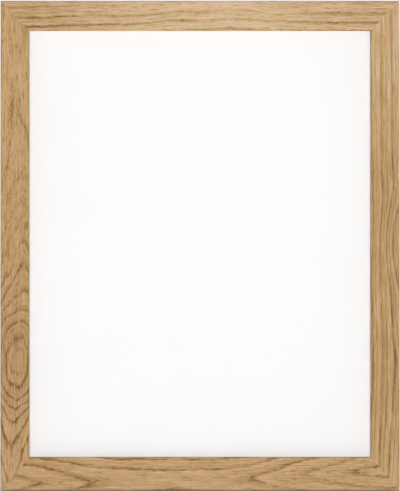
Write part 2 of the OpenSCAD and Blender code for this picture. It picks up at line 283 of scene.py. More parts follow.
@dataclass(frozen=True)
class Board:
    """One oak member: its node, the way it runs, and how its rings lie.

    Args:
        node: The CAD node.
        run: The way that its grain runs.
        knots: The rings' places along it.
        ring_gap: Millimetres between two rings that stand upright in the face.
        seed: Where its noises are read, so that no two boards share a pattern.
        ripple: How far the rings waver over a few millimetres, as a share of a ring.
        uneven: How far the rings' widths differ, as a share of a ring.
        bleach: How much paler and greyer its wood is, from 0 to 1.
        crisp: How thin its ring lines are: 1 is plain, and more is thinner.
        porous: How plainly its pores show, from 0 to 1.
        feather: How plainly the rows of pores between its ring lines show, from 0 to 1.
        fibrous: How plainly its fibres show as fine streaks, from 0 to 1.
        waver: How far the rings wander over a few centimetres, as a share of a ring.
        half_line: How plain the line halfway between two ring lines is, from 0 to 1.
        faintest: How strong its faintest ring line is beside its strongest.
        swells: Its small knots and burrs.
    """

    node: str
    run: Run
    knots: tuple[Knot, ...]
    ring_gap: float
    seed: float
    ripple: float
    uneven: float = 0.0
    bleach: float = 0.0
    crisp: float = 1.0
    porous: float = 1.0
    feather: float = 0.15
    fibrous: float = 1.0
    waver: float = 0.7
    half_line: float = 0.3
    faintest: float = 0.35
    swells: tuple[Swell, ...] = ()

    def share_along(self, at: float) -> float:
        """Turns a pixel along the board into a share of its length.

        Args:
            at: The column on a rail, or the row on a stile.

        Returns:
            The share, from 0 at the board's left or lower end to 1.
        """
        if self.run is Run.UP:
            return (PHOTO.bottom - at) / (PHOTO.bottom - PHOTO.top)
        return (at - PHOTO.left) / (PHOTO.right - PHOTO.left)

    def spine_mm(self, across: float) -> float:
        """Turns a pixel across the board into millimetres in the frame."""
        return PHOTO.across_mm(across) if self.run is Run.UP else PHOTO.up_mm(across)

    def along_mm(self, at: float) -> float:
        """Turns a pixel along the board into millimetres in the frame."""
        return PHOTO.up_mm(at) if self.run is Run.UP else PHOTO.across_mm(at)

    def ends_mm(self) -> tuple[float, float]:
        """Gives the board's two ends along its run.

        Returns:
            The lower or left end and the other, in millimetres in the frame.
        """
        if self.run is Run.UP:
            return 0.0, PHOTO.up_mm(PHOTO.top)
        return PHOTO.across_mm(PHOTO.left), PHOTO.across_mm(PHOTO.right)


@dataclass(frozen=True)
class Rings:
    """The nodes that describe a board's growth rings at a point.

    Args:
        count: How many rings out from the board's spine.
        flat: How nearly flat the ring lies in the face, where its line would spread wide.
        tone: How light the wood is.
        mark: How strongly the rings show.
    """

    count: Node
    flat: Node
    tone: Node
    mark: Node


@dataclass(frozen=True)
class OakFinish:
    """European oak, planed and sanded, under one thin coat of matt lacquer.

    The wood is ring-porous: each ring starts with a band of wide open pores that reads as a dark line,
    and fades into dense pale latewood. The pores are short dark dashes that follow the grain. Real
    ones are 0.3 mm wide, which a render of the whole frame doesn't show, so they're drawn 0.55 mm wide.
    """

    # The pale wood's drifting colours, what they bleach to, and the colours that it darkens to.
    hues: tuple[str, ...] = ("#CCAE6B", "#D39B85", "#BEAA78", "#D79E78", "#C8A97C")
    bleached: str = "#E0CBAC"
    mid: str = "#B18D5A"
    dark: str = "#784E22"
    # The lacquer, which is rougher and sunken in the pores.
    roughness: float = 0.6
    pore_roughness: float = 0.2
    pore_depth_mm: float = 0.1
    specular: float = 0.3
    # What fills the curves of ring counts and of the spine's place.
    most_rings: float = 14.0
    reach_mm: float = 80.0
    # The power that shapes a ring's end, what roundness adds to it, and how much it calms the ripples.
    pointed: float = 1.5
    blunted: float = 1.0
    round_calm: float = 0.85
    # How deep a swell reaches, how fast the rings' widths drift, how strong the finest ripple is beside
    # the others, and how much thinner a line is where its ring lies flat in the face.
    swell_deep_mm: float = 40.0
    width_drift: float = 0.8
    finest_ripple: float = 0.3
    flat_thinning: float = 1.0
    # Earlywood through one ring, up to the half line and after it.
    first_half: tuple[tuple[float, float], ...] = ((0, 1), (0.08, 0.9), (0.22, 0.38), (0.4, 0.1))
    second_half: tuple[tuple[float, float], ...] = ((0.6, 0.1), (0.78, 0), (0.92, 0.12), (1, 1))
    # Rows of pores in one ring, where they start, and how much of a row's width its pores fill.
    rows_in_ring: float = 3.0
    rows_start: float = 0.4
    row_width: float = 0.45
    # How far the grain space is warped across, into and along the board.
    sway_mm: tuple[float, float, float] = (1.3, 0, 6)
    # Every noise in the wood, and how much further across a board than along it its seed moves them.
    seed_across: float = 3.7
    sway: Patches = grained(9, 30, 2)
    wander: Patches = grained(6, 34, 2)
    ripples: Patches = grained(1.3, 5, 2)
    fine_ripples: Patches = grained(0.6, 2.2, 2)
    fading: Patches = grained(2.6, 36, 3)
    fraying: Patches = grained(0.6, 2.6, 2)
    breaks: Patches = grained(1.1, 5, 2)
    dashes: Patches = grained(0.55, 3.4, 3)
    fibre: Patches = grained(0.7, 14, 3)
    cloud: Patches = grained(5, 26, 2)
    narrow_tint: Patches = grained(1.8, 12, 3)
    broad_tint: Patches = grained(4.4, 26, 2)
    # What each noise has to pass to count, from nothing to all of it.
    faded: tuple[float, float] = (0.36, 0.58)
    frayed: tuple[float, float] = (0.35, 0.6)
    broken: tuple[float, float] = (0.44, 0.6)
    open_pore: tuple[float, float] = (0.52, 0.68)
    tint_spread: tuple[float, float] = (1.26, 1.74)
    # How strong a ring line is where it is faded and where it isn't, and how much weaker and stronger
    # it frays in wood that is fully porous.
    line_kept: tuple[float, float] = (0.35, 1.15)
    line_frays: tuple[float, float] = (-0.5, 0.2)
    # How open the pores of fully porous wood are in latewood, and how much more so in earlywood.
    late_pores: float = 0.4
    early_pores: float = 0.6
    # How many bands of tint there are to a ring.
    tint_bands: float = 1.3
    # How much darkness each part adds, and what it takes to turn the wood mid and dark.
    base_darkness: float = 0.4
    fibre_weight: float = 1.5
    cloud_weight: float = 0.5
    pore_weight: float = 0.55
    line_weight: float = 1.25
    tone_weight: float = -0.8
    to_mid: tuple[float, float] = (-0.1, 0.4)
    to_dark: tuple[float, float] = (0.4, 1.1)


class OakGrain:
    """The oak of one board, drawn round its growth rings."""

    def __init__(self, finish: OakFinish, board: Board) -> None:
        """Starts the material with its grain space and its rings.

        Args:
            finish: The wood's colours, surface and patterns.
            board: The member and how its rings lie.
        """
        self.finish = finish
        self.board = board
        self.material, self.tree = new_material(f"matt_lacquered_oak_{board.node}")
        self.shift = (board.seed * finish.seed_across, 0, board.seed)
        self.grain = self._grain_space()
        self.rings = self._rings()
        self.profile = self._profile()

    def build(self) -> bpy.types.Material:
        """Draws the rest of the wood, and gives the board's material on Object coordinates."""
        self._shade(self._lines(), self._pores())
        return self.material

    def _noise(self, patches: Patches) -> Node:
        """Spreads a noise over the board, where no other board reads it."""
        return patches.spread(self.tree, self.grain, 1, self.shift)

    def _grain_space(self) -> Node:
        """Turns Object coordinates into the board's own, gently warped as a grown trunk is.

        Returns:
            The node that gives millimetres across, into and along the board.
        """
        add, finish = self.tree.add, self.finish
        space, back = add("TexCoord").outputs["Object"], STANCE.undo_location()
        stood_up = {"Vector": space, "Location": back, "Rotation": (STANCE.lean, 0, 0)}
        upright = add("Mapping", {**stood_up, "Scale": (1 / MM,) * 3})
        parts = add("SeparateXYZ", (upright,)).outputs
        depth = add("Math", (parts[1], -STANCE.front_y / MM), operation="ADD")
        across, along = (0, 2) if self.board.run is Run.UP else (2, 0)
        straight = add("CombineXYZ", (parts[across], depth, parts[along]))
        sway = finish.sway.spread(self.tree, straight, 1, self.shift).outputs["Color"]
        centred = add("VectorMath", (sway, (0.5, 0.5, 0.5)), operation="SUBTRACT")
        return add("VectorMath", (centred, finish.sway_mm, straight), operation="MULTIPLY_ADD")

    def _rings(self) -> Rings:
        """Counts growth rings out from the board's spine, round its swells.

        Returns:
            The nodes that describe them.
        """
        add, finish, board = self.tree.add, self.finish, self.board
        across, depth, along = add("SeparateXYZ", (self.grain,)).outputs
        share = add("MapRange", (along, *board.ends_mm()))
        knots = sorted(board.knots, key=lambda k: board.share_along(k.at))
        places = [board.share_along(k.at) for k in knots]
        middle = board.spine_mm(knots[0].spine)
        spine, count, tone, mark, blunt = (
            add("FloatCurve", {"Value": share}, list(zip(places, values)))
            for values in (
                [0.5 + (board.spine_mm(k.spine) - middle) / finish.reach_mm for k in knots],
                [k.rings / finish.most_rings for k in knots],
                [k.tone for k in knots],
                [k.mark for k in knots],
                [k.blunt for k in knots],
            )
        )
        low = middle - finish.reach_mm / 2
        spine_mm = add("Math", (spine, finish.reach_mm, low), operation="MULTIPLY_ADD")
        offset = add("Math", (across, spine_mm), operation="SUBTRACT")
        aside = add("Math", (offset,), operation="ABSOLUTE")
        aside_rings = add("Math", (aside, 1 / board.ring_gap), operation="MULTIPLY")
        face_rings = add("Math", (count, finish.most_rings), operation="MULTIPLY")
        deep = add("Math", (depth, 1 / board.ring_gap, face_rings), operation="MULTIPLY_ADD")
        level = add("Math", (deep, 0.0), operation="MAXIMUM")
        power = add("Math", (blunt, finish.blunted, finish.pointed), operation="MULTIPLY_ADD")
        aside_power = add("Math", (aside_rings, power), operation="POWER")
        level_power = add("Math", (level, power), operation="POWER")
        total = add("Math", (aside_power, level_power), operation="ADD")
        root = add("Math", (1.0, power), operation="DIVIDE")
        rings = self._swollen(add("Math", (total, root), operation="POWER"))
        stepped = add("Math", (rings, finish.width_drift, board.seed), operation="MULTIPLY_ADD")
        widths = add("TexNoise", {"W": stepped, "Scale": 1, "Detail": 1}, noise_dimensions="1D")
        calm = -finish.round_calm * board.ripple
        ripple = add("Math", (blunt, calm, board.ripple), operation="MULTIPLY_ADD")
        finest = add("Math", (ripple, finish.finest_ripple), operation="MULTIPLY")
        for noise, amount in (
            (widths, 2 * board.uneven),
            (self._noise(finish.wander), board.waver),
            (self._noise(finish.ripples), ripple),
            (self._noise(finish.fine_ripples), finest),
        ):
            centred = add("Math", (noise, 0.5), operation="SUBTRACT")
            rings = add("Math", (centred, amount, rings), operation="MULTIPLY_ADD")
        flat = add("Math", (level_power, total), operation="DIVIDE")
        return Rings(rings, flat, tone, mark)

    def _swollen(self, rings: Node) -> Node:
        """Adds the board's swells to its ring count.

        Args:
            rings: The count without them.

        Returns:
            The count with them.
        """
        add, board = self.tree.add, self.board
        for swell in board.swells:
            reach, spread = swell.reach / PHOTO.per_mm, swell.spread / PHOTO.per_mm
            across, along = board.spine_mm(swell.across), board.along_mm(swell.at)
            middle = (-across / spread, 0, -along / reach)
            scale = (1 / spread, 1 / self.finish.swell_deep_mm, 1 / reach)
            near = add("Mapping", {"Vector": self.grain, "Location": middle, "Scale": scale})
            away = add("VectorMath", (near,), operation="LENGTH").outputs["Value"]
            hill = add("MapRange", (away, 1.0, 0.0), interpolation_type="SMOOTHSTEP")
            rings = add("Math", (hill, swell.lift, rings), operation="MULTIPLY_ADD")
        return rings

    def _profile(self) -> Node:
        """Gives how much earlywood there is through one ring, from a sharp edge to bare latewood.

        Returns:
            The node that gives it, from 0 to 1.
        """
        add, finish = self.tree.add, self.finish
        phase = add("Math", (self.rings.count,), operation="FRACT")
        levels = (*finish.first_half, (0.5, self.board.half_line), *finish.second_half)
        profile = add("ValToRGB", (phase,), [(place, grey(level)) for place, level in levels])
        thinned = (self.rings.flat, finish.flat_thinning, self.board.crisp)
        power = add("Math", thinned, operation="MULTIPLY_ADD")
        return add("Math", (profile, power), operation="POWER")

    def _lines(self) -> Node:
        """Draws each ring's dark line, stronger in some rings and broken along the grain.

        Returns:
            The node that gives the lines' strength.
        """
        add, finish, board = self.tree.add, self.finish, self.board
        number = add("Math", (self.rings.count,), operation="FLOOR")
        seeded = add("Math", (number, board.seed), operation="ADD")
        chance = add("TexWhiteNoise", {"W": seeded}, noise_dimensions="1D")
        strength = add("MapRange", (chance, 0, 1, board.faintest, 1))
        kept = add("MapRange", (self._noise(finish.fading), *finish.faded, *finish.line_kept))
        thin_full = (1 + change * board.porous for change in finish.line_frays)
        frayed = add("MapRange", (self._noise(finish.fraying), *finish.frayed, *thin_full))
        line = self.profile
        for share in (strength, kept, frayed, self.rings.mark):
            line = add("Math", (line, share), operation="MULTIPLY")
        return add("Math", (line, self._streaks()), operation="ADD")

    def _streaks(self) -> Node:
        """Draws the short faint rows of pores that lie between two ring lines.

        Returns:
            The node that gives the rows' strength.
        """
        add, finish = self.tree.add, self.finish
        spaced = (self.rings.count, finish.rows_in_ring, finish.rows_start)
        rows = add("Math", spaced, operation="MULTIPLY_ADD")
        phase = add("Math", (rows,), operation="FRACT")
        row = add("MapRange", (phase, finish.row_width, 0, 0, self.board.feather))
        shown = add("MapRange", (self._noise(finish.breaks), *finish.broken))
        return add("Math", (row, shown), operation="MULTIPLY")

    def _pores(self) -> Node:
        """Draws the open pores as dashes, crowded into the earlywood.

        Returns:
            The node that gives how open the pores are.
        """
        add, finish, porous = self.tree.add, self.finish, self.board.porous
        cut = add("MapRange", (self._noise(finish.dashes), *finish.open_pore))
        early, late = finish.early_pores * porous, finish.late_pores * porous
        crowd = add("Math", (self.profile, early, late), operation="MULTIPLY_ADD")
        return add("Math", (cut, crowd), operation="MULTIPLY")

    def _shade(self, lines: Node, pores: Node) -> None:
        """Colours the wood from its lines, pores, fibre and tone, and lacquers it.

        Args:
            lines: How strong the rings' lines are.
            pores: How open the pores are.
        """
        add, finish, board, rings = self.tree.add, self.finish, self.board, self.rings
        streaky = finish.fibre_weight * board.fibrous
        darkness = finish.base_darkness - streaky / 2
        for part, weight in (
            (self._noise(finish.fibre), streaky), (self._noise(finish.cloud), finish.cloud_weight),
            (pores, finish.pore_weight), (lines, finish.line_weight), (rings.tone, finish.tone_weight),
        ):
            darkness = add("Math", (part, weight, darkness), operation="MULTIPLY_ADD")
        tint = self._noise(finish.narrow_tint)
        bands = {"W": rings.count, "Scale": finish.tint_bands, "Detail": 1}
        banded = add("TexNoise", bands, noise_dimensions="1D")
        for part in (self._noise(finish.broad_tint), banded):
            tint = add("Math", (tint, part), operation="ADD")
        spread = add("MapRange", (tint, *finish.tint_spread))
        last = len(finish.hues) - 1
        hues = [(i / last, linear(hue)) for i, hue in enumerate(finish.hues)]
        colour = add("ValToRGB", (spread,), hues)
        for share, hue in (
            (board.bleach, finish.bleached),
            (add("MapRange", (darkness, *finish.to_mid)), finish.mid),
            (add("MapRange", (darkness, *finish.to_dark)), finish.dark),
        ):
            mixed = add("Mix", {"Factor": share, 6: colour, 7: linear(hue)}, data_type="RGBA")
            colour = mixed.outputs[2]
        rough = (finish.roughness, finish.roughness + finish.pore_roughness)
        relief = {"Height": pores, "Strength": 0.5, "Distance": finish.pore_depth_mm * MM}
        shader = add(
            "BsdfPrincipled",
            {
                "Base Color": colour,
                "Roughness": add("MapRange", (pores, 0, 1, *rough)),
                "Normal": add("Bump", relief, invert=True),
                "IOR": 1.5,
                "Specular IOR Level": finish.specular,
            },
        )
        add("OutputMaterial", {"Surface": shader})


@dataclass(frozen=True)
class GlassFinish:
    """Clear float glass. The pane is thin and clean, so it shows as a faint gloss over the insert."""

    tint: str = "#FEFEFE"

    def build(self) -> bpy.types.Material:
        """Makes the glass, which lets light straight through to the insert and back from it.

        Returns:
            The glass.
        """
        material, tree = new_material("clear_float_glass")
        tint = linear(self.tint)
        rays = tree.add("LightPath").outputs
        glassy = {"Base Color": tint, "Roughness": 0.0, "IOR": 1.5, "Transmission Weight": 1.0}
        pane = tree.add("BsdfPrincipled", glassy)
        clear = tree.add("BsdfTransparent", {"Color": tint})
        let_through = (rays["Is Shadow Ray"], rays["Is Diffuse Ray"])
        lighting = tree.add("Math", let_through, operation="MAXIMUM")
        mixed = tree.add("MixShader", (lighting, pane, clear))
        tree.add("OutputMaterial", {"Surface": mixed})
        return material


@dataclass(frozen=True)
class SheetFinish:
    """Paper, card or hardboard: felted fibre with a fine tooth, faint clouds and darker flecks.

    Real fibres are 0.03 to 0.2 mm wide. They are drawn as coarse as a render of the frame can show.
    """

    name: str
    pale: str
    dark: str
    fleck: str
    roughness: float
    fibre_mm: float
    relief_mm: float
    cloud_mm: float = 30.0
    cloud_weight: float = 0.4
    fleck_share: float = 0.5
    fleck_fibres: tuple[float, float, float] = (1.2, 1, 4)
    fleck_turn: float = 0.9
    uneven_gloss: float = 0.08
    felt_spread: tuple[float, float] = (0.5, 0.9)
    fleck_spread: tuple[float, float] = (0.56, 0.68)

    def build(self) -> bpy.types.Material:
        """Makes the felted sheet.

        Returns:
            The paper, card or hardboard, on Object coordinates.
        """
        material, tree = new_material(self.name)
        add = tree.add
        space = add("TexCoord").outputs["Object"]
        tooth = Patches((self.fibre_mm,) * 3).spread(tree, space)
        cloud = Patches((self.cloud_mm,) * 3).spread(tree, space)
        fleck = tuple(self.fibre_mm * side for side in self.fleck_fibres)
        flecks = Patches(fleck, turn=self.fleck_turn).spread(tree, space)
        both = add("Math", (cloud, self.cloud_weight, tooth), operation="MULTIPLY_ADD")
        spread = add("MapRange", (both, *self.felt_spread))
        felt = add("ValToRGB", (spread,), [(0.0, linear(self.dark)), (1.0, linear(self.pale))])
        shown = add("MapRange", (flecks, *self.fleck_spread, 0, self.fleck_share))
        colour = add("Mix", {"Factor": shown, 6: felt, 7: linear(self.fleck)}, data_type="RGBA")
        rough = (self.roughness - self.uneven_gloss, self.roughness + self.uneven_gloss)
        relief = {"Height": tooth, "Strength": 0.5, "Distance": self.relief_mm * MM}
        shader = add(
            "BsdfPrincipled",
            {
                "Base Color": colour.outputs[2],
                "Roughness": add("MapRange", (tooth, 0, 1, *rough)),
                "Normal": add("Bump", relief),
                "IOR": 1.5,
            },
        )
        add("OutputMaterial", {"Surface": shader})
        return material


@dataclass(frozen=True)
class MetalFinish:
    """Small stamped hardware in plated steel, cut from rolled strip and tumbled before plating.

    Rolling leaves faint lines along the strip, and handling a few bright scratches across them. Real
    ones are finer, and are drawn about 0.4 mm wide so that they show. The plate dulls in patches.
    """

    name: str
    bright: str
    dull: str
    roughness: float
    dull_roughness: float = 0.14
    patches: Patches = Patches((7.0, 7.0, 7.0))
    lines: Patches = Patches((9.0, 0.4, 0.4))
    scratches: Patches = Patches((0.35, 0.35, 7.0), turn=0.7)
    line_weight: float = 0.6
    line_depth_mm: float = 0.03
    scratch_weight: float = 0.3
    scratch_spread: tuple[float, float] = (0.62, 0.7)
    worn_spread: tuple[float, float] = (0.55, 1.05)

    def build(self) -> bpy.types.Material:
        """Makes the plated steel.

        Returns:
            The metal, on Object coordinates.
        """
        material, tree = new_material(self.name)
        add = tree.add
        space = add("TexCoord").outputs["Object"]
        patches = self.patches.spread(tree, space)
        lines = self.lines.spread(tree, space)
        scratches = self.scratches.spread(tree, space)
        scratched = add("MapRange", (scratches, *self.scratch_spread))
        mixed = add("Math", (lines, self.line_weight, patches), operation="MULTIPLY_ADD")
        lifted = add("Math", (scratched, self.scratch_weight, mixed), operation="MULTIPLY_ADD")
        worn = add("MapRange", (lifted, *self.worn_spread))
        colour = add("ValToRGB", (worn,), [(0.0, linear(self.dull)), (1.0, linear(self.bright))])
        rough = (self.roughness + self.dull_roughness, self.roughness)
        relief = {"Height": lines, "Strength": 0.4, "Distance": self.line_depth_mm * MM}
        shader = add(
            "BsdfPrincipled",
            {
                "Base Color": colour,
                "Metallic": 1.0,
                "Roughness": add("MapRange", (worn, 0, 1, *rough)),
                "Normal": add("Bump", relief),
            },
        )
        add("OutputMaterial", {"Surface": shader})
        return material


def dress(piece: bpy.types.Object, material: bpy.types.Material) -> None:
    """Puts one material in every slot of a piece, and reports it.

    Args:
        piece: The piece or the CAD node.
        material: Its finish.
    """
    if not piece.data.materials:
        piece.data.materials.append(material)
    for i in range(len(piece.data.materials)):
        piece.data.materials[i] = material
    LOG.info("%s: %s", piece.name, material.name)


def placed(name: str, data: bpy.types.ID) -> bpy.types.Object:
    """Puts a mesh, a lamp or a camera in the scene.

    Args:
        name: The object's name.
        data: What it shows.

    Returns:
        The object, at the origin.
    """
    thing = bpy.data.objects.new(name, data)
    bpy.context.scene.collection.objects.link(thing)
    return thing


def shade(mesh: bpy.types.Mesh) -> None:
    """Shades a mesh smooth between its sharp edges."""
    mesh.shade_smooth()
    mesh.set_sharp_from_angle(angle=math.radians(CREASE_DEGREES))


def new_piece(name: str, work: bmesh.types.BMesh) -> bpy.types.Object:
    """Makes an object at the origin from a finished bmesh, and frees the bmesh.

    Args:
        name: The piece's name.
        work: The closed mesh, in metres.

    Returns:
        The object, shaded smooth between its sharp edges.
    """
    mesh = bpy.data.meshes.new(name)
    work.to_mesh(mesh)
    work.free()
    shade(mesh)
    return placed(name, mesh)


def round_edges(piece: bpy.types.Object, width: float) -> None:
    """Rounds a piece's sharp edges, as tumbling and handling do.

    Args:
        piece: The piece.
        width: How far the rounding reaches from each edge, in millimetres.
    """
    edge = piece.modifiers.new("rounded_edges", "BEVEL")
    edge.width = width * MM
    edge.segments = 2
    edge.limit_method = "ANGLE"
    edge.angle_limit = math.radians(ROUNDED_DEGREES)
    edge.harden_normals = True


def softened(node: bpy.types.Object, name: str, width: float) -> bpy.types.Object:
    """Copies a stamped or sawn CAD piece, and rounds the copy's sharp edges.

    Args:
        node: The CAD node.
        name: The copy's name.
        width: How far the rounding reaches from each edge, in millimetres.

    Returns:
        The copy.
    """
    work = bmesh.new()
    work.from_mesh(node.data)
    bmesh.ops.remove_doubles(work, verts=work.verts, dist=MERGE_MM * MM)
    flat = math.radians(FLAT_DEGREES)
    bmesh.ops.dissolve_limit(work, angle_limit=flat, verts=work.verts, edges=work.edges)
    piece = new_piece(name, work)
    round_edges(piece, width)
    return piece


def turned(profile: Sequence[tuple[float, float]], steps: int = 32) -> bmesh.types.BMesh:
    """Spins a profile round the Z axis into a closed solid.

    Args:
        profile: The radius and height of each corner in millimetres, from pole to pole.
        steps: How many sides the solid has.

    Returns:
        The solid, in metres.
    """
    work = bmesh.new()
    corners = [work.verts.new((radius * MM, 0, height * MM)) for radius, height in profile]
    sides = [work.edges.new(pair) for pair in zip(corners, corners[1:])]
    bmesh.ops.spin(
        work, geom=[*corners, *sides], cent=(0, 0, 0), axis=(0, 0, 1),
        angle=math.tau, steps=steps, use_merge=True,
    )
    bmesh.ops.remove_doubles(work, verts=work.verts, dist=SEAM_MM * MM)
    bmesh.ops.recalc_face_normals(work, faces=work.faces)
    return work


def dome(radius: float, rim: float, height: float, steps: int = 7) -> list[tuple[float, float]]:
    """Gives the radius and height of a dome's corners, from the top of its rim to its pole."""
    turns = [math.pi / 2 * i / steps for i in range(steps + 1)]
    return [(radius * math.cos(t), rim + (height - rim) * math.sin(t)) for t in turns]


def repeated(
    shape: bmesh.types.BMesh, places: Sequence[Matrix], onto: bmesh.types.BMesh | None = None
) -> bmesh.types.BMesh:
    """Copies a shape to each of its places, and frees the first.

    Args:
        shape: The shape, drawn along +Z from the origin.
        places: Where each copy goes.
        onto: What the copies join, or nothing for a bmesh of their own.

    Returns:
        The bmesh that holds the copies.
    """
    copies = onto or bmesh.new()
    for place in places:
        mesh = bpy.data.meshes.new("copy")
        shape.to_mesh(mesh)
        mesh.transform(place)
        copies.from_mesh(mesh)
        bpy.data.meshes.remove(mesh)
    shape.free()
    return copies


def stand_in(
    piece: bpy.types.Object,
    node: str,
    material: bpy.types.Material,
    body: str = "frame",
) -> None:
    """Puts a finished piece in the place of a CAD node.

    Args:
        piece: The new piece.
        node: The CAD node that it stands for.
        material: Its finish.
        body: The body that it moves with.
    """
    dress(piece, material)
    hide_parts(node)
    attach(piece, body)


LEFT_STILE = Board(
    node="left_stile",
    run=Run.UP,
    ring_gap=3.0,
    seed=1.708,
    ripple=0.4,
    feather=0.42,
    half_line=0.18,
    knots=(
        Knot(0, 13.5, 12.6, 0.54, 0.4),
        Knot(60, 14, 12.35, 0.58, 0.3),
        Knot(85, 14.4, 12.2, 0.62, 0.25),
        Knot(109, 15, 12.0, 0.6, 0.6),
        Knot(137, 19, 11.6, 0.55, 0.54),
        Knot(165, 22, 11.2, 0.55, 0.45),
        Knot(205, 22.5, 9.9, 0.46, 0.45),
        Knot(240, 22, 8.2, 0.48, 0.45),
        Knot(270, 23, 6.8, 0.48, 0.6),
        Knot(290, 23.5, 6.0, 0.45, 0.72, 0.2),
        Knot(309.5, 22.5, 5.0, 0.42, 0.78, 0.4),
        Knot(321.5, 20.5, 4.0, 0.38, 0.92, 0.5),
        Knot(338, 18.2, 3.0, 0.26, 0.5, 0.45),
        Knot(362, 17, 2.42, 0.35, 0.9, 0.8),
        Knot(386, 16, 3.0, 0.34, 0.95, 0.5),
        Knot(399, 15.2, 4.0, 0.33, 1.0, 0.1),
        Knot(407.5, 14.3, 5.0, 0.38, 1.04),
        Knot(421, 13, 6.0, 0.44, 1.09),
        Knot(443, 11.2, 7.0, 0.54, 1.04),
        Knot(466, 11, 7.6, 0.57, 0.7),
        Knot(490, 12, 8.1, 0.59, 0.6),
    ),
    swells=(
        Swell(224, 27, 14, 9, -1.2),
        Swell(206, -1, 20, 10, -0.9),
        Swell(262, 11, 24, 8, 0.7),
    ),
)
RIGHT_STILE = Board(
    node="right_stile",
    run=Run.UP,
    ring_gap=5.6,
    seed=19.355,
    ripple=0.12,
    uneven=0.15,
    bleach=0.36,
    crisp=1.6,
    porous=0.5,
    fibrous=0.75,
    waver=0.14,
    half_line=0.75,
    faintest=0.5,
    knots=(
        Knot(0, 350.3, 0.0, 0.7, 0.27),
        Knot(50, 351.0, 0.0, 0.66, 0.35),
        Knot(110, 351.5, 0.0, 0.56, 0.38),
        Knot(163, 352.0, 0.0, 0.47, 0.5),
        Knot(190, 352.8, 0.0, 0.43, 0.64),
        Knot(240, 352.3, 0.0, 0.4, 0.44),
        Knot(280, 351.1, 0.0, 0.44, 0.49),
        Knot(326, 352.0, 0.0, 0.48, 0.69),
        Knot(350, 352.5, 0.0, 0.47, 0.72),
        Knot(400, 351.7, 0.0, 0.43, 0.76),
        Knot(435, 350.5, 0.0, 0.46, 0.74),
        Knot(460, 348.8, 0.0, 0.5, 0.48),
        Knot(490, 347.3, 0.0, 0.52, 0.29),
    ),
    swells=(
        Swell(243, 397, 60, 24, 1.0),
        Swell(372, 398, 70, 10, -0.3),
    ),
)
TOP_RAIL = Board(
    node="top_rail",
    run=Run.ACROSS,
    ring_gap=5.3,
    seed=29.05,
    ripple=0.3,
    uneven=0.2,
    bleach=0.42,
    crisp=2.2,
    porous=0.8,
    feather=0.35,
    fibrous=0.7,
    waver=0.2,
    half_line=0.45,
    faintest=0.25,
    knots=(
        Knot(0, -11.2, 0.0, 0.54, 0.79),
        Knot(25, -11.4, 0.0, 0.56, 0.88),
        Knot(50, -11.6, 0.0, 0.58, 0.88),
        Knot(83, -12.6, 0.0, 0.64, 0.64),
        Knot(110, -12.6, 0.0, 0.72, 0.47),
        Knot(146, -13.9, 0.0, 0.81, 0.44),
        Knot(175, -17.4, 0.0, 0.84, 0.41),
        Knot(200, -16.9, 0.0, 0.89, 0.47),
        Knot(232, -18.4, 0.0, 0.92, 0.54),
        Knot(275, -16.9, 0.0, 0.84, 0.3),
        Knot(305, -15.4, 0.0, 0.75, 0.43),
        Knot(340, -15.4, 0.0, 0.71, 0.64),
        Knot(400, -15.4, 0.0, 0.63, 0.69),
    ),
    swells=(Swell(278, 4, 36, 15, -0.8),),
)
BOTTOM_RAIL = Board(
    node="bottom_rail",
    run=Run.ACROSS,
    ring_gap=3.46,
    seed=33.873,
    ripple=0.38,
    bleach=0.08,
    feather=0.3,
    knots=(
        Knot(0, 483, 4.2, 0.51, 0.59),
        Knot(22, 482.5, 4.7, 0.54, 0.66),
        Knot(38, 482, 5.0, 0.54, 0.82),
        Knot(58, 482, 5.4, 0.54, 0.88),
        Knot(92, 481.5, 6.0, 0.58, 0.7),
        Knot(130, 481, 6.3, 0.63, 0.81),
        Knot(175, 480, 6.5, 0.63, 0.95),
        Knot(215, 480, 6.4, 0.65, 0.68),
        Knot(253, 479, 6.0, 0.61, 0.6),
        Knot(285, 477, 5.4, 0.61, 0.71),
        Knot(305, 475.5, 5.0, 0.61, 0.67),
        Knot(330, 474, 4.55, 0.61, 0.63),
        Knot(357, 472, 4.0, 0.62, 0.66),
        Knot(383, 471, 3.7, 0.62, 0.88),
        Knot(400, 470.5, 3.5, 0.62, 0.68),
    ),
)


@dataclass(frozen=True)
class Panel:
    """A soft lamp with a rectangular face that lights the frame from one side.

    Args:
        name: The lamp's name.
        azimuth: Degrees round from the frame's front, positive to the right.
        elevation: Degrees above the horizon.
        distance: Metres from the frame's middle.
        width: Metres.
        height: Metres.
        level: How bright a white card that faces it is, from 0 to 1.
    """

    name: str
    azimuth: float
    elevation: float
    distance: float
    width: float
    height: float
    level: float

    def hang(self, aim: Vector) -> None:
        """Puts the lamp up, facing a point.

        Args:
            aim: The point in metres.
        """
        turn, rise = math.radians(self.azimuth), math.radians(self.elevation)
        along = Vector((math.sin(turn), -math.cos(turn), 0))
        away = along * math.cos(rise) + Vector((0, 0, math.sin(rise)))
        lamp = bpy.data.lights.new(self.name, "AREA")
        lamp.shape = "RECTANGLE"
        lamp.size, lamp.size_y = self.width, self.height
        lamp.energy = self.level * math.pi ** 2 * self.distance ** 2
        hung = placed(self.name, lamp)
        hung.location = aim + away * self.distance
        hung.rotation_euler = (-away).to_track_quat("-Z", "Y").to_euler()


